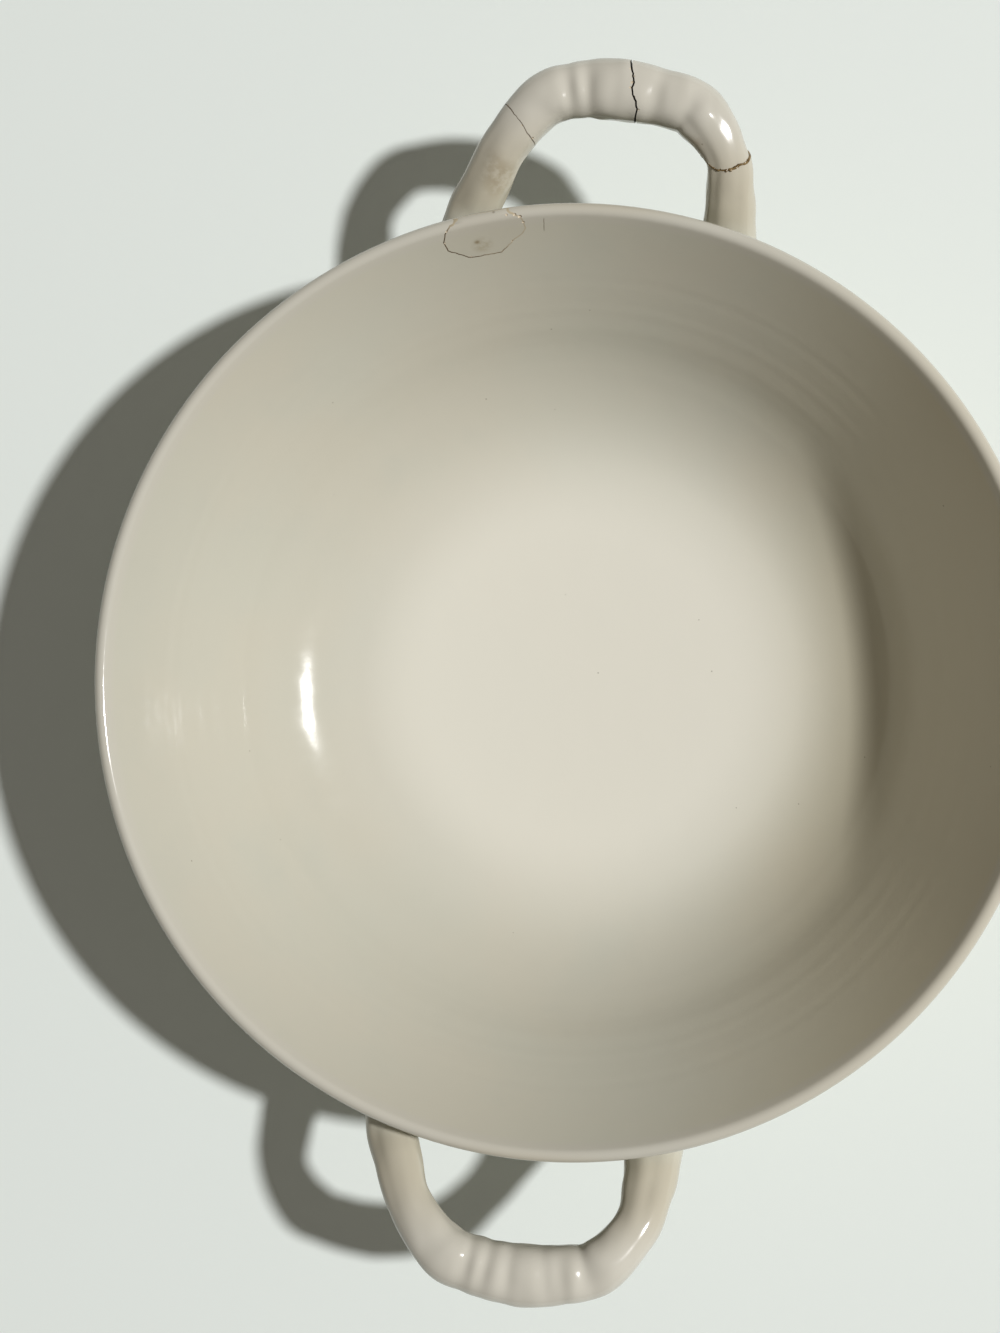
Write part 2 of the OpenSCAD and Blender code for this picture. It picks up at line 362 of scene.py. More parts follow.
    # The melt froze with slow waves about 9 mm long and a fine orange peel of about 1 mm.
    waves = add(m, "TexNoise", lumps(here, 9, 1, 0.4, 4.0), noise_dimensions="4D")[0]
    peel = add(m, "TexNoise", lumps(here, 1.1, 2, 0.5, 6.0), noise_dimensions="4D")[0]
    height = add(m, "Math", {0: peel, 1: 0.09, 2: waves}, operation="MULTIPLY_ADD")[0]
    relief = add(m, "Bump", {"Height": height, "Distance": 0.09 * MM, "Strength": 1.0})
    link(m, relief[0], shader.inputs["Normal"])
    return m


def make_clay(name, light, dark, grain_mm=0.5):
    """Broken stoneware: open, gritty and quite matt, because no glaze ever covered it."""
    m, shader = new_material(name, IOR=1.45, Roughness=0.85)
    here = add(m, "TexCoord")["Object"]

    # The same grains give the colour and the relief.
    grain = add(m, "TexNoise", lumps(here, grain_mm, 4, 0.7), noise_dimensions="4D")[0]
    share = add(m, "MapRange", {0: grain, 1: 0.35, 2: 0.65}, interpolation_type="SMOOTHSTEP")[0]
    tone = add(m, "Mix", {0: share, 6: srgb(light), 7: srgb(dark)}, data_type="RGBA")[2]
    link(m, tone, shader.inputs["Base Color"])
    relief = add(m, "Bump", {"Height": grain, "Distance": 0.12 * MM, "Strength": 1.0})
    link(m, relief[0], shader.inputs["Normal"])
    return m


def make_glue(name, thin, thick, rough, spots=()):
    """Two-part glue that has yellowed: glassy where it stood proud, and dull where dirt sits in it."""
    m, shader = new_material(name, IOR=1.5)
    here = add(m, "TexCoord")["Object"]
    share = patches(m, lumps(here, 1.8, 3, 0.6), 0.38, 0.62)
    tone = add(m, "Mix", {0: share, 6: srgb(thin), 7: srgb(thick)}, data_type="RGBA")[2]
    for at, inner, outer, code in spots:
        inputs = {0: spot(m, here, at, inner, outer), 6: tone, 7: srgb(code)}
        tone = add(m, "Mix", inputs, data_type="RGBA")[2]
    link(m, tone, shader.inputs["Base Color"])
    link(m, patches(m, lumps(here, 1.1, 2, 0.5, 2.0), 0.3, 0.7, rough), shader.inputs["Roughness"])
    height = add(m, "TexNoise", lumps(here, 0.7), noise_dimensions="4D")[0]
    relief = add(m, "Bump", {"Height": height, "Distance": 0.05 * MM, "Strength": 1.0})
    link(m, relief[0], shader.inputs["Normal"])
    return m


glaze = make_glaze("white_tin_glaze")
flake_glaze = make_glaze("glaze_dulled_by_glue", 0.05)
foot_clay = make_clay("bare_stoneware_foot", "#CDBDA6", "#B9A78E", 0.9)
fracture = make_clay("broken_stoneware", "#CFC0AC", "#A8967E")
chipped = make_clay("chipped_glaze_edge", "#DDD3C0", "#B8A88E", 0.4)
# Painted shade: the faces of the open middle crack are painted near black, for the shade deep in its gap.
crack_shade_fracture = make_clay("broken_stoneware_painted_shade", "#3D2F1A", "#291E10")
grey_glue = make_glue("glue_line_grey_with_dirt", "#7C7465", "#5E564A", (0.35, 0.55))
# Painted shade: the glue sunk deep in the middle crack is painted near black, for the shade down in its
# gap.
dark_glue = make_glue("sunken_glue_painted_dark_shade", "#352814", "#261C0E", (0.5, 0.7))
brown_glue = make_glue("glossy_browned_glue", "#8A744E", "#5E4A2C", (0.08, 0.2))

# The glue round the flake is darker at its left end, paler at its right and crusted on the lip.
FLAKE_GLUE_SPOTS = [
    ((-45, 124, 72), 8, 14, "#5A4A35"),
    ((-24, 132, 73), 4, 9, "#B0A58E"),
    ((-34, 136, 79.5), 9, 14, "#B9AC92"),
]
flake_glue = make_glue("thin_browned_glue_line", "#93866F", "#6F624C", (0.2, 0.45), FLAKE_GLUE_SPOTS)


# ---- the thrown shell ----

LIP_C = Vector((RIM_R - LIP_R, RIM_Z - LIP_R))
FLOOR_Z = FOOT_H + WALL_T
IN_NORMAL = Vector((-sin(WALL_LEAN), cos(WALL_LEAN)))
IN_TOP = LIP_C + LIP_R * IN_NORMAL
IN_LOW_Z = FLOOR_Z + FLOOR_BEND * (1 - cos(WALL_LEAN))
IN_LOW = Vector((IN_TOP.x - (IN_TOP.y - IN_LOW_Z) / tan(WALL_LEAN), IN_LOW_Z))
BEND_C = IN_LOW + FLOOR_BEND * IN_NORMAL
OUT_LOW = IN_LOW - WALL_T * IN_NORMAL
TO_LIP = LIP_C - OUT_LOW
OUT_LEAN = atan2(TO_LIP.y, TO_LIP.x) - atan2(LIP_R, sqrt(TO_LIP.length_squared - LIP_R ** 2))
OUT_TOP = LIP_C + LIP_R * Vector((sin(OUT_LEAN), -cos(OUT_LEAN)))


def outer_r(z):
    return OUT_TOP.x - (OUT_TOP.y - z) / tan(OUT_LEAN)


def line(a, b, step):
    n = max(1, round((b - a).length / step))
    return [a.lerp(b, i / n) for i in range(n)]


def arc(c, r, start, end, step):
    n = max(2, round(abs(end - start) * r / step))
    turns = [mix(start, end, i / n) for i in range(n)]
    return [c + r * Vector((cos(a), sin(a))) for a in turns]


def thrown(point, normal):
    """The potter's fingers leave low rings, two of them clearer than the rest."""
    z = point.y
    strength = smooth((z - 16) / 14) * smooth((72 - z) / 14)
    rings = 0.018 * sin(z / 1.15) + 0.012 * sin(z / 0.71 + 1)
    return point + normal * strength * (rings + 0.05 * bell(z, 38, 1.6) + 0.04 * bell(z, 33.5, 1.6))


def shell_outline():
    """Half the bowl's section, from the floor's middle over the lip and down to the base's middle."""
    up = pi / 2
    inside = line(Vector((0, FLOOR_Z)), Vector((BEND_C.x, FLOOR_Z)), 3)
    inside += arc(BEND_C, FLOOR_BEND, -up, WALL_LEAN - up, 1.6)
    inside += [thrown(p, IN_NORMAL) for p in line(IN_LOW, IN_TOP, 0.9)]
    lip = arc(LIP_C, LIP_R, WALL_LEAN + up, OUT_LEAN - up, 0.45)
    outside = [thrown(p, -IN_NORMAL) for p in line(OUT_TOP, OUT_LOW, 1.2)]
    outside += arc(BEND_C, FLOOR_BEND + WALL_T, WALL_LEAN - up, -up + 0.06, 1.8)
    edge = 1.2
    inner = FOOT_R - FOOT_W
    foot = line(Vector((FOOT_R, FOOT_H + 0.5)), Vector((FOOT_R, edge)), 1)
    foot += arc(Vector((FOOT_R - edge, edge)), edge, 0, -up, 0.4)
    foot += line(Vector((FOOT_R - edge, 0)), Vector((inner + edge, 0)), 1)
    foot += arc(Vector((inner + edge, edge)), edge, -up, -2 * up, 0.4)
    foot += line(Vector((inner, edge)), Vector((inner, FOOT_H)), 1)
    base = line(Vector((inner, FOOT_H)), Vector((0, FOOT_H)), 3)
    return [Vector((p.x, 0, p.y)) for p in inside + lip + outside + foot + base + [Vector((0, FOOT_H))]]


def make_shell():
    shell = draw_line("bowl_body", shell_outline())
    edit(shell)
    bpy.ops.mesh.spin(steps=SPIN_STEPS, angle=2 * pi, center=(0, 0, 0), axis=(0, 0, 1))
    leave()
    tidy(shell, 0.00002)
    paint(shell, glaze, foot_clay)
    for f in shell.data.polygons:
        f.material_index = int(f.center.z < 1.5 * MM)
    return shell


# ---- the pulled handles ----

GRIP_Z = RIM_Z - GRIP_DROP
ROOT_Z = RIM_Z - ROOT_DROP
RISE = GRIP_Z - ROOT_Z
LEG_X = LEG_SPAN / 2
GRIP_X = GRIP_SPAN / 2
ROOT_X = LEG_X + 4
ROOT_Y = sqrt((outer_r(ROOT_Z) - 1.5 * WALL_T) ** 2 - ROOT_X ** 2)

# Half of a handle's middle line, from its root in the wall to its grip: across, out, up and width.
HALF = [
    (ROOT_X, ROOT_Y, ROOT_Z, ROOT_W),
    (mix(ROOT_X, LEG_X, 0.5), mix(ROOT_Y, RIM_R, 0.47), ROOT_Z + RISE * 0.14, mix(ROOT_W, LEG_W, 0.1)),
    (LEG_X + 0.5, RIM_R - 2, ROOT_Z + RISE * 0.34, mix(ROOT_W, LEG_W, 0.2)),
    (LEG_X - 0.7, RIM_R + REACH * 0.22, ROOT_Z + RISE * 0.63, mix(ROOT_W, LEG_W, 0.6)),
    (mix(LEG_X, GRIP_X, 0.31), RIM_R + REACH * 0.53, ROOT_Z + RISE * 0.886, LEG_W),
    (GRIP_X, RIM_R + REACH * 0.845, ROOT_Z + RISE * 0.99, mix(LEG_W, GRIP_W, 0.55)),
    (GRIP_X * 0.54, RIM_R + REACH * 0.962, GRIP_Z, mix(LEG_W, GRIP_W, 0.85)),
]


# The handles were pulled by hand, so the two sides of each differ. For every point of a side, from
# root to grip: how much further across, out and wider it lies than an even handle.
FAR_LEFT = [(5.6, 0, 0), (5.4, 0, 0), (3.3, 0, -0.7), (0.1, 0, 0.4), (-1.2, 0.2, 1.3), (0.4, 1.2, 0),
            (0, 0.8, -0.6)]
FAR_RIGHT = [(0, 0, 0), (-0.4, 0, 0), (-0.8, 0, 0.2), (-0.8, 0, 0.3), (0.3, 0, 0.5), (0.6, 0.4, 0.6),
             (0, -0.3, -0.6)]
NEAR_LEFT = [(-0.5, 0, 0.4), (-0.9, 0, 0.8), (-1.1, 0, 1.3), (-0.9, 0, 1.4), (0, 0.1, 1.2), (0.6, 0.7, 0.4),
             (0, 0, 0)]
NEAR_RIGHT = [(7, 0, 0), (6.8, 0, 0), (5, 0, -0.8), (2.2, 0, 0.2), (1, 0.2, 0.7), (0.8, 0.7, 0.4),
              (0, 0.2, 0)]


def handle_path(lean, left, right):
    """A handle's whole middle line from root to root. The middle of its grip leans sideways."""
    sides = []
    for side, uneven in ((-1, left), (1, right)):
        sides.append([(side * (x + u[0]), y + u[1], z, w + u[2]) for (x, y, z, w), u in zip(HALF, uneven)])
    points = sides[0] + [(0, RIM_R + REACH, GRIP_Z, GRIP_W)] + sides[1][::-1]
    return [Vector((x + lean * max(0, y - RIM_R) / REACH, y, z, w)) for x, y, z, w in points]


def along(path, t):
    """Position and width at t, on a smooth curve through the path's points."""
    k = min(int(max(t, 0)), len(path) - 2)
    f = t - k
    a, b = path[max(k - 1, 0)], path[k]
    c, d = path[k + 1], path[min(k + 2, len(path) - 1)]
    q = b + 0.5 * f * ((c - a) + f * ((2 * a - 5 * b + 4 * c - d) + f * (3 * b - a - 3 * c + d)))
    return q.xyz, q.w


def heading(path, t):
    return (along(path, t + 0.02)[0] - along(path, t - 0.02)[0]).normalized()


def wall_gap(p):
    """How far a point lies outside the bowl's outer wall, and the way straight out of the wall."""
    r = hypot(p.x, p.y)
    away = Vector((p.x / r * sin(OUT_LEAN), p.y / r * sin(OUT_LEAN), -cos(OUT_LEAN)))
    return (r - outer_r(p.z)) * sin(OUT_LEAN), away


# How far the clay is smeared out round a root, and how far from the wall that starts.
FLARE = 1.3
FLARE_REACH = 4


def flare_roots(rope, path):
    """Near the wall the clay is smeared outwards, so that each leg grows out of the bowl."""
    steps = len(path) - 1
    middles = [along(path, k / 8)[0] for k in range(steps * 8 + 1)]
    for v in rope.data.vertices:
        p = v.co / MM
        gap, away = wall_gap(p)
        if gap > FLARE_REACH:
            continue
        middle = min(middles, key=lambda q: (q - p).length_squared)
        side = p - middle
        side = (side - away * side.dot(away)).normalized()
        share = min(1 - gap / FLARE_REACH, 1.1)
        v.co = (p + side * FLARE * share ** 3) * MM


# 2 would be an ellipse, and more is squarer, as a pulled handle is.
SQUARENESS = 2.3


def make_rope(name, path, dents):
    """A straight flattened bar with many rings, dented as by fingers and bent along the path."""
    steps = len(path) - 1
    rings = steps * RINGS_PER_STEP
    guide = bpy.data.curves.new(name + "_guide", "CURVE")
    guide.dimensions = "3D"
    guide.twist_mode = "Z_UP"
    spline = guide.splines.new("POLY")
    spline.points.add(rings)
    for k, point in enumerate(spline.points):
        middle, width = along(path, k / RINGS_PER_STEP)
        point.co = (*(middle * MM), 1)
        point.radius = width / 2
    guide_object = bpy.data.objects.new(name + "_guide", guide)
    bpy.context.collection.objects.link(guide_object)

    bpy.ops.object.select_all(action="DESELECT")
    bpy.ops.mesh.primitive_cylinder_add(vertices=ROPE_SIDES, radius=MM, depth=1, rotation=(0, pi / 2, 0))
    bpy.ops.object.transform_apply(location=True, rotation=True, scale=True)
    rope = named(name)
    verts = rope.data.vertices
    pick(rope, "EDGE", lambda e: abs(verts[e.vertices[0]].co.x - verts[e.vertices[1]].co.x) > 0.5)
    bpy.ops.mesh.subdivide_edgering(number_cuts=rings - 1, interpolation="LINEAR")
    leave()
    lengths = [0]
    for k in range(rings):
        a, b = along(path, k / RINGS_PER_STEP)[0], along(path, (k + 1) / RINGS_PER_STEP)[0]
        lengths.append(lengths[-1] + (b - a).length)
    for v in rope.data.vertices:
        turn = atan2(v.co.z, v.co.y)
        k = round((v.co.x + 0.5) * rings)
        square = (abs(cos(turn)) ** SQUARENESS + abs(sin(turn)) ** SQUARENESS) ** (-1 / SQUARENESS)
        middle, width = along(path, k / RINGS_PER_STEP)
        scale = square + dents(middle, k / RINGS_PER_STEP, turn) / (width / 2)
        v.co = (lengths[k] / lengths[-1] - 0.5, v.co.y * scale, v.co.z * scale)
    edit(rope)
    bpy.ops.transform.resize(value=(1, 1, FLATNESS))
    leave()
    guide.use_stretch = True
    guide.use_deform_bounds = True
    guide.use_radius = True
    modify(rope, "CURVE", object=guide_object, deform_axis="POS_X")
    bpy.data.objects.remove(guide_object)
    flare_roots(rope, path)
    for side in (-1, 1):
        trim_root(rope, path, side)
    tidy(rope)
    return rope


def trim_root(rope, path, side, depth=2.6):
    """Ends a leg inside the wall, on a plane that lies along the wall."""
    t = min((i / 20 for i in range(60)), key=lambda u: abs(wall_gap(along(path, u)[0])[0] + depth))
    at = along(path, t if side < 0 else len(path) - 1 - t)[0]
    away = wall_gap(at)[1]
    pick(rope, "FACE", lambda f: f.center.x * side > 0 and f.center.y < (RIM_R + REACH * 0.5) * MM)
    bpy.ops.mesh.bisect(plane_co=at * MM, plane_no=away, use_fill=True, clear_inner=True)
    leave()


# Marks across each grip: where each one is across, how wide it is, and how deep or how high.
FAR_VALLEYS = [(-13, 2.1, 0.6), (-7, 2, 0.55), (0.5, 2.4, 0.1), (13.5, 2.6, 0.5), (23.5, 2.4, 0.55)]
FAR_RIDGES = [(-10, 1.8, 0.1), (-1.5, 3.2, 0.1), (-21, 4, 0.15), (9, 3, 0.15), (27, 3, 0.4)]
NEAR_VALLEYS = [(15.5, 2.2, 0.6), (9.5, 2.0, 0.45), (2.5, 2.2, 0.4), (-8.5, 2.2, 0.3), (-13.5, 2.3, 0.3),
                (-20.4, 2.4, 0.55)]
NEAR_RIDGES = [(12.5, 1.5, 0.1), (6.2, 2.4, 0.1), (-3, 3, 0.1), (-17, 2.5, 0.1), (22.5, 3, 0.3),
               (-26, 3, 0.4)]

# The marks start this far out from the bowl's middle and are full a little further on.
GRIP_FROM = 158
GRIP_FADE = 8
WOBBLE = 0.36


def finger_marks(p, turn, valleys, ridges):
    """Soft marks across the grip. They are deepest on top of it and end where the legs begin."""
    deep = sum(depth * bell(p.x, at, width) for at, width, depth in valleys)
    marks = sum(height * bell(p.x, at, width) for at, width, height in ridges) - deep
    return marks * ((0.35 + 1.5 * bell(turn, 1.7, 0.7)) * smooth((p.y - GRIP_FROM) / GRIP_FADE))


def wobble(p, turn, shift, lump):
    """Slow unevenness all over the clay, in lumps of about this many millimetres."""
    return WOBBLE * noise.noise(Vector((p.x, p.y + shift, turn * 8)) / lump)


def far_dents(p, t, turn):
    """Turn 0 is the outer side of the handle, a quarter turn its top and half a turn its inner side."""
    marks = finger_marks(p, turn, FAR_VALLEYS, FAR_RIDGES)
    right = smooth((t - 8.4) / 0.8) * smooth((13.5 - t) / 1.5)
    furrows = right * (0.6 * bell(turn, 2.3, 0.24) + 0.25 * bell(turn, 1.25, 0.2))
    furrows += smooth((5 - t) / 1.5) * (0.25 * bell(turn, 1.1, 0.25) + 0.2 * bell(turn, 2.1, 0.2))
    return marks - furrows + wobble(p, turn, 0, 6)


def near_dents(p, t, turn):
    """The near handle is turned half round, so its marks are listed from right to left."""
    marks = finger_marks(p, turn, NEAR_VALLEYS, NEAR_RIDGES)
    furrows = smooth((5 - t) / 2) * (0.4 * bell(turn, 2.3, 0.24) + 0.25 * bell(turn, 1.55, 0.18))
    furrows += smooth((t - 9) / 2) * (0.4 * bell(turn, 1.07, 0.24) + 0.2 * bell(turn, 2.2, 0.2))
    return marks - furrows + wobble(p, turn, 40, 7)


# ---- cracks ----

# Each crack across the far handle: where it crosses the path, its tilt, and its line as steps
# across and along the handle.
LEFT = (4.42, 0, [(-16, -2.2), (-6.7, -2.2), (-5.1, -2.1), (-2.8, -1.4), (0.3, -0.8), (3.4, -0.1),
                  (5.9, 0.4), (16, 0.4)])
MIDDLE = (7.27, 0, [(-16, 1.9), (-8.4, 1.9), (-6.5, 2.3), (-4.6, 1.5), (-3, 0.2), (-1, -0.3), (0.6, 0.1),
                    (1.7, -0.2), (4.3, -1.3), (7.3, -1.9), (16, -1.9)])
RIGHT = (9.97, 45, [(-17, -5.4), (-8.3, -5.4), (-5.7, -0.2), (-4.6, 0.9), (-2.7, 1.2), (-0.1, 1.5),
                    (1.9, 1.4), (4.3, 2.1), (8.5, 2.6), (17, 2.6)])

# Chips along each crack: how far across the handle, how far aside of the crack, and its size.
CHIPS = [
    (LEFT, [(5.4, 0.25, 0.3), (-2, -0.2, 0.25), (-6.3, 0.35, 0.5)]),
    (MIDDLE, [(4.6, -0.35, 0.35), (2.4, 0.3, 0.3), (0.5, -0.45, 0.55), (-1.1, -0.4, 0.4),
              (-3.5, 0.35, 0.35), (-6.6, 0.35, 0.4)]),
    (RIGHT, [(5, -0.3, 0.35), (1.2, 0.35, 0.35), (-3.4, -0.35, 0.35)]),
]

# Beads of glue that were pressed out of the right crack, on top: how far across the handle, and the
# size. On the inner side they are small and even, in a row that starts this low and goes up.
BEADS = [(-5.6, 0.35), (-4.2, 0.45), (-2.4, 0.6), (-1.2, 0.75), (0.3, 0.7), (1.9, 0.5), (3.6, 0.35)]
INNER_BEADS = 12
INNER_BEADS_FROM = -0.6
INNER_BEAD_STEP = 0.5

# The right fragment was glued this much too far in, and the slip fades out round the bend.
SLIP = 0.5
SLIP_TO = 168
SLIP_FADE = 7


def jagged(points, step, jitter, dice):
    """The same line with extra points that wander off it."""
    out = []
    for a, b in zip(points, points[1:]):
        a, b = Vector(a), Vector(b)
        n = max(1, round((b - a).length / step))
        for i in range(n):
            p = a.lerp(b, i / n)
            if i:
                p += Vector((dice.uniform(-jitter, jitter), dice.uniform(-jitter, jitter)))
            out.append(p)
    return out + [Vector(points[-1])]


def crack_frame(path, crack):
    """Puts +X along the handle's path and +Y across it, at the crack."""
    way = heading(path, crack[0])
    place = Matrix.Translation(along(path, crack[0])[0] * MM)
    return place @ Matrix.Rotation(atan2(way.y, way.x), 4, "Z") @ Matrix.Rotation(radians(crack[1]), 4, "Y")


def make_slab(name, path, crack, thickness, rough, material, seed):
    """A rough ribbon through the handle: its line drawn, pulled up, roughened and given thickness.

    Its thickness changes on the way across, as the gap of a crack does.
    """
    dice = Random(seed)
    points = [(s.y, s.x, -16) for s in jagged(crack[2], 0.8, 0.12, dice)]
    slab = draw_line(name, points)
    edit(slab)
    bpy.ops.mesh.extrude_region_move(TRANSFORM_OT_translate={"value": (0, 0, 32 * MM)})
    leave()
    verts = slab.data.vertices
    pick(slab, "EDGE", lambda e: abs(verts[e.vertices[0]].co.z - verts[e.vertices[1]].co.z) > 0.02)
    bpy.ops.mesh.subdivide_edgering(number_cuts=40, interpolation="LINEAR")
    leave()
    grit = bpy.data.textures.new(name + "_grit", "CLOUDS")
    grit.noise_scale = 2.6 * MM
    grit.noise_depth = 3
    modify(slab, "DISPLACE", texture=grit, texture_coords="LOCAL", direction="X", strength=rough * MM)
    wide = slab.vertex_groups.new(name="wide")
    for v in slab.data.vertices:
        wide.add([v.index], 0.6 + 0.8 * noise.noise((v.co.y / MM / 4, seed + 0.5, 0.5)), "REPLACE")
    modify(slab, "SOLIDIFY", thickness=thickness * MM, offset=0, vertex_group="wide",
           thickness_vertex_group=0.4)
    slab.data.transform(crack_frame(path, crack))
    tidy(slab, 0.000001)
    paint(slab, material)
    return slab


def split_loose(piece):
    only(piece)
    bpy.ops.object.mode_set(mode="EDIT")
    bpy.ops.mesh.select_all(action="SELECT")
    bpy.ops.mesh.separate(type="LOOSE")
    leave()
    return list(bpy.context.selected_objects)


def middle_of(piece):
    points = [v.co for v in piece.data.vertices]
    return sum(points, Vector()) / len(points)


def crack_glue(name, slab, dents, depth, material):
    """The part of a crack's slab inside a copy of the far handle that is this much slimmer all round."""
    limit = make_rope(name + "_limit", far_path, lambda p, t, turn: dents(p, t, turn) - depth)
    glue = duplicate(slab, name)
    boolean(glue, limit, "INTERSECT")
    paint(glue, material)
    return glue


def bead(at, size, dice):
    """A small lump: a ball pushed a little out of round."""
    bpy.ops.object.select_all(action="DESELECT")
    bpy.ops.mesh.primitive_ico_sphere_add(subdivisions=2, radius=1, location=(0, 0, 0))
    lump = named("lump")
    for v in lump.data.vertices:
        v.co *= dice.uniform(0.85, 1.1)
    lump.data.transform(Matrix.Diagonal([s * MM for s in size] + [1]))
    lump.data.transform(Matrix.Rotation(dice.uniform(0, pi), 4, "Z"))
    lump.data.transform(Matrix.Translation(Vector(at) * MM))
    return lump


def crack_point(place, crack, across, up, aside=0):
    """A point of the crack's slab: how far across the handle and how far up it is."""
    xs = [s[0] for s in crack[2]]
    k = max(i for i in range(len(xs) - 1) if xs[i] <= across)
    (a, fa), (b, fb) = crack[2][k], crack[2][k + 1]
    return place @ (Vector((mix(fa, fb, (across - a) / (b - a)) + aside, across, up)) * MM)


def nearest_on(rope, points):
    """Where a row of points comes nearest to the handle's surface, in millimetres."""
    hits = [(rope.closest_point_on_mesh(p)[1], p) for p in points]
    return min(hits, key=lambda hit: (hit[0] - hit[1]).length)[0] / MM


def on_top(rope, place, crack, across, aside=0):
    return nearest_on(rope, [crack_point(place, crack, across, 3 + i * 0.1, aside) for i in range(90)])


def on_inner_side(rope, place, crack, up):
    return nearest_on(rope, [crack_point(place, crack, -9.5 + i * 0.1, up) for i in range(65)])


def nibble(pieces, places, dice):
    """Bites tiny chips out of the edges of a crack, which bares the light clay under the glaze."""
    bites = [bead(at, (size, size * dice.uniform(0.6, 1), size * 0.7), dice) for at, size in places]
    bites = join(*bites)
    bites.name = "bites"
    paint(bites, chipped)
    for piece in pieces:
        boolean(piece, bites, "DIFFERENCE", keep=True)
    bpy.data.objects.remove(bites)


# ---- the flake ----

# Outline of the flake on the slope of the inner wall: up the slope from the lip, and round the rim.
FLAKE_AZ = radians(104.3)
FLAKE_T = 2.6
FLAKE = [(3.5, 4.3), (2.1, 7.6), (1.3, 10.4), (-0.5, 12.2), (-3.6, 13.2), (-7.2, 12.6), (-9.6, 9.8),
         (-11.7, 7.3), (-12.2, 4.6), (-12.3, -2.6), (-9.8, -5.2), (-7.7, -7.3), (-6, -9.9),
         (-4.1, -11.1), (0.1, -10.4), (1.3, -8.8), (2.3, -6.4), (3.5, -2)]
FLAKE_GAP = 0.36
FLAKE_GLUE_T = 0.3

# Chips along the flake's outline: up the slope, round the rim, and the size.
FLAKE_CHIPS = [(0.6, -10.3, 0.7), (1.6, -8.9, 0.6), (-1.6, -11, 0.5), (2.4, -6.6, 0.4), (-8.6, -6.6, 0.35),
               (-11.9, 6.4, 0.35), (-4, 13.1, 0.35), (0.2, 11.8, 0.4)]
FLAKE_FRAME = (Matrix.Rotation(FLAKE_AZ, 4, "Z") @ Matrix.Translation((IN_TOP.x * MM, 0, IN_TOP.y * MM))
               @ Matrix.Rotation(-WALL_LEAN, 4, "Y"))


def grown(points, d):
    """The outline moved outwards all round."""
    out = []
    for i, b in enumerate(points):
        a, c = points[i - 1], points[(i + 1) % len(points)]
        u, v = (b - a).normalized(), (c - b).normalized()
        n = Vector((u.y + v.y, -u.x - v.x))
        out.append(b + d * n * 2 / max(n.length_squared, 1.5))
    return out


def make_prism(name, outline, low, material):
    loop = list(outline) + [outline[0]]
    prism = draw_line(name, [(p.x, p.y, low) for p in loop])
    tidy(prism, 0.000005)
    edit(prism)
    bpy.ops.mesh.edge_face_add()
    bpy.ops.mesh.extrude_region_move(TRANSFORM_OT_translate={"value": (0, 0, (6 - low) * MM)})
    leave()
    prism.data.transform(FLAKE_FRAME)
    tidy(prism, 0.000001)
    paint(prism, material)
    return prism


# ---- making the pieces ----

shell = make_shell()

loop = jagged(FLAKE + FLAKE[:1], 1.1, 0.14, Random(5))[:-1]
flake_prism = make_prism("flake_prism", loop, -FLAKE_T, flake_glue)
pocket_prism = make_prism("pocket_prism", grown(loop, FLAKE_GAP), -FLAKE_T - FLAKE_GLUE_T, fracture)
flake = duplicate(shell, "flake_of_rim")
boolean(flake, flake_prism, "INTERSECT", keep=True)
line_of_glue = duplicate(shell, "glue_round_flake")
boolean(line_of_glue, pocket_prism, "INTERSECT", keep=True)
boolean(line_of_glue, flake_prism, "DIFFERENCE")
paint(line_of_glue, flake_glue)
flake_edge = []
for up, round_rim, chip in FLAKE_CHIPS:
    near = shell.closest_point_on_mesh(FLAKE_FRAME @ (Vector((up, round_rim, 0)) * MM))[1]
    flake_edge.append((near / MM, chip))
boolean(shell, pocket_prism, "DIFFERENCE")
nibble([shell, flake, line_of_glue], flake_edge, Random(9))
flake.data.materials[0] = flake_glaze

far_path = handle_path(FAR_LEAN, FAR_LEFT, FAR_RIGHT)
near_path = handle_path(NEAR_LEAN, NEAR_LEFT, NEAR_RIGHT)
far_rope = make_rope("far_rope", far_path, far_dents)
near_rope = make_rope("near_rope", near_path, near_dents)
edit(near_rope)
bpy.ops.transform.rotate(value=pi, orient_axis="Z", center_override=(0, 0, 0))
leave()
for rope in (far_rope, near_rope):
    paint(rope, glaze)

slabs = [
    make_slab("slab_left", far_path, LEFT, 0.36, 0.5, fracture, 3),
    # The middle crack's broken faces and its sunken glue are painted dark, as painted shade in its open
    # gap.
    make_slab("slab_middle", far_path, MIDDLE, 0.75, 0.7, crack_shade_fracture, 11),
    make_slab("slab_right", far_path, RIGHT, 0.55, 0.6, fracture, 7),
]
glue_left = crack_glue("glue_in_left_crack", slabs[0], far_dents, 0.1, grey_glue)
glue_middle = crack_glue("glue_in_middle_crack", slabs[1], far_dents, 1.2, dark_glue)
glue_right = crack_glue("glue_in_right_crack", slabs[2], far_dents, -0.1, brown_glue)

dice = Random(21)
bites = []
for crack, chips in CHIPS:
    crack_place = crack_frame(far_path, crack)
    for across, aside, chip in chips:
        bites.append((on_top(far_rope, crack_place, crack, across, aside), chip))
right_frame = crack_frame(far_path, RIGHT)
beads = []
for across, wide in BEADS:
    at = on_top(far_rope, right_frame, RIGHT, across)
    beads.append(bead(at, (wide, wide * 0.7, wide * 0.6), dice))
for k in range(INNER_BEADS):
    at = on_inner_side(far_rope, right_frame, RIGHT, INNER_BEADS_FROM + INNER_BEAD_STEP * k)
    beads.append(bead(at, (0.5, 0.42, 0.42), dice))
join(glue_right, *beads)
modify(glue_right, "REMESH", mode="VOXEL", voxel_size=0.13 * MM)
modify(glue_right, "SMOOTH", factor=0.5, iterations=3)
paint(glue_right, brown_glue)

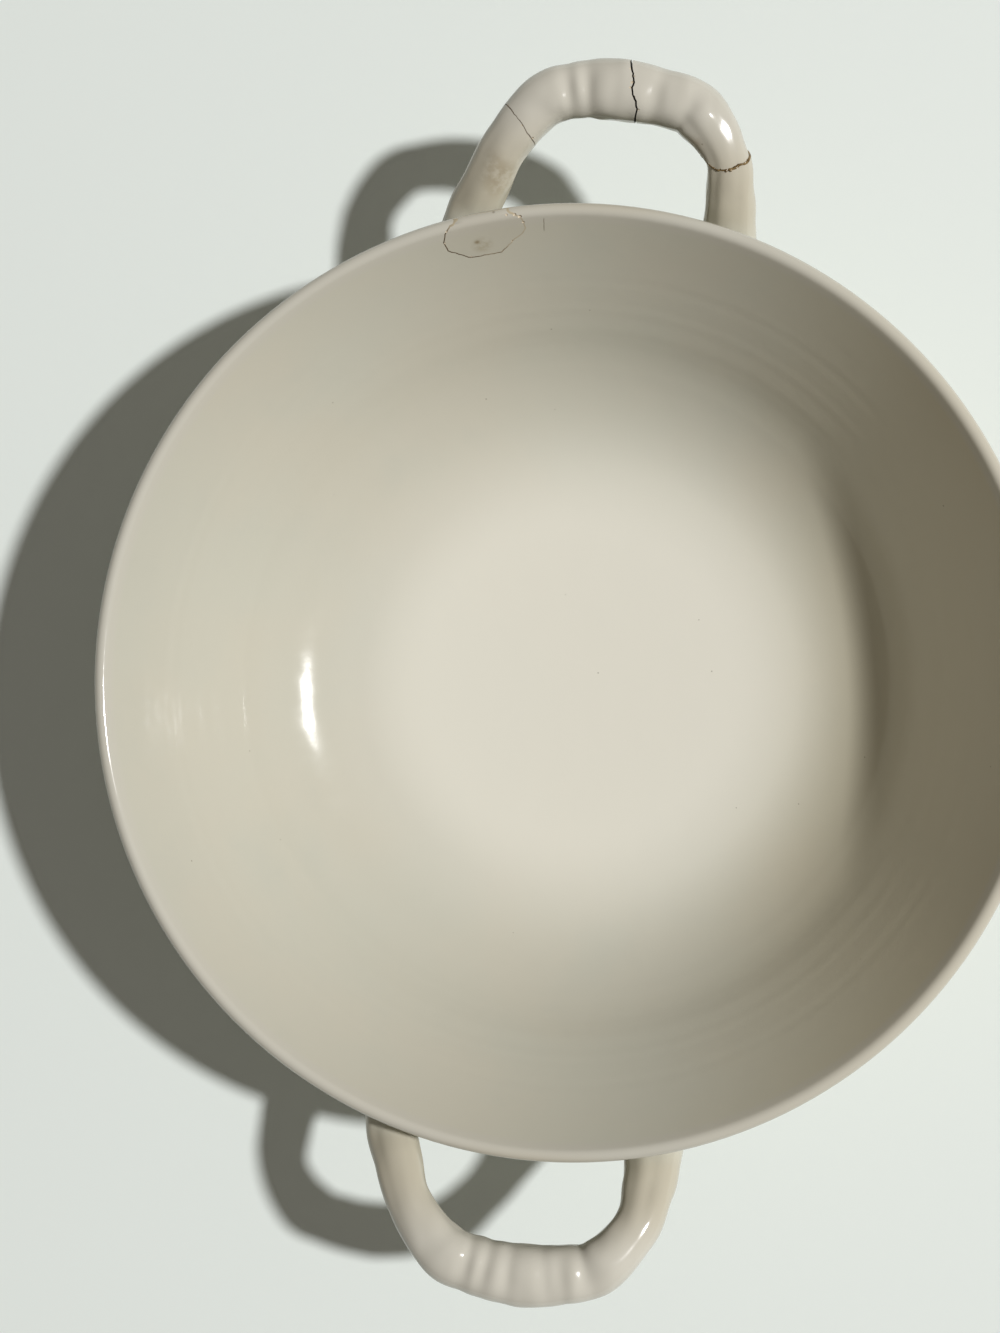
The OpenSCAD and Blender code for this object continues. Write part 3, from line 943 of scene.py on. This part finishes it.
for slab in slabs:
    boolean(far_rope, slab, "DIFFERENCE")
nibble([far_rope], bites, dice)
parts = sorted(split_loose(far_rope), key=lambda o: middle_of(o).x)
stub_left, fragment_left, fragment_right, stub_right = parts
fragment_left.name = fragment_left.data.name = "grip_fragment_left"
fragment_right.name = fragment_right.data.name = "grip_fragment_right"
for v in fragment_right.data.vertices:
    # Its slip leaves a step at the right crack and none at the middle one.
    v.co.x -= SLIP * MM * smooth((SLIP_TO * MM - v.co.y) / (SLIP_FADE * MM))
for stub in (stub_left, stub_right, near_rope):
    boolean(shell, stub, "UNION")

PIECES = [
    (shell, "bowl", "glaze"),
    (fragment_left, "handle_fragment_left", "glaze"),
    (fragment_right, "handle_fragment_right", "glaze"),
    (flake, "rim_flake", "glaze"),
    (glue_left, "glue_left", "glue"),
    (glue_middle, "glue_middle", "glue"),
    (glue_right, "glue_right", "glue"),
    (line_of_glue, "glue_flake", "glue"),
]
for piece, node, finish in PIECES:
    only(piece)
    bpy.ops.object.shade_smooth_by_angle(angle=radians(38))
    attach(piece, "root")
    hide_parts(node)

# ---- stage ----

bpy.ops.object.select_all(action="DESELECT")
bpy.ops.mesh.primitive_plane_add(size=6, location=(0, 0, 0))
floor = named("floor")
table, table_shader = new_material("matt_white_tabletop", Roughness=0.6, IOR=1.45)
table_shader.inputs["Base Color"].default_value = srgb("#E4EAE6")
paint(floor, table)

CAMERA_AT = Vector((37.66, 1.77, 688.4))
CAMERA_TURNS = ((radians(4.65), "Z"), (radians(5.287), "Y"), (radians(0.542), "X"))

bpy.ops.object.camera_add()
camera = bpy.context.object
camera.data.sensor_width = 36
camera.data.lens = 56.17
place = Matrix.Translation(CAMERA_AT * MM)
for angle, axis in CAMERA_TURNS:
    place = place @ Matrix.Rotation(angle, 4, axis)
camera.matrix_world = place
bpy.context.scene.camera = camera


def soft_light(name, at, size, power, tint):
    bpy.ops.object.light_add(type="AREA", location=at)
    light = bpy.context.object
    light.name = name
    light.data.shape = "DISK"
    light.data.size = size
    light.data.energy = power
    light.data.color = srgb(tint)[:3]
    light.rotation_euler = Vector(at).to_track_quat("Z", "Y").to_euler()


soft_light("key", (6, 1.05, 8.1), 0.6, 985, "#FFFFFF")
world = bpy.data.worlds.new("studio")
bpy.context.scene.world = world
world.use_nodes = True
world.node_tree.nodes["Background"].inputs["Color"].default_value = srgb("#FFF7E9")
world.node_tree.nodes["Background"].inputs["Strength"].default_value = 0.16
bpy.context.scene.view_settings.view_transform = "Standard"

bpy.context.view_layer.update()
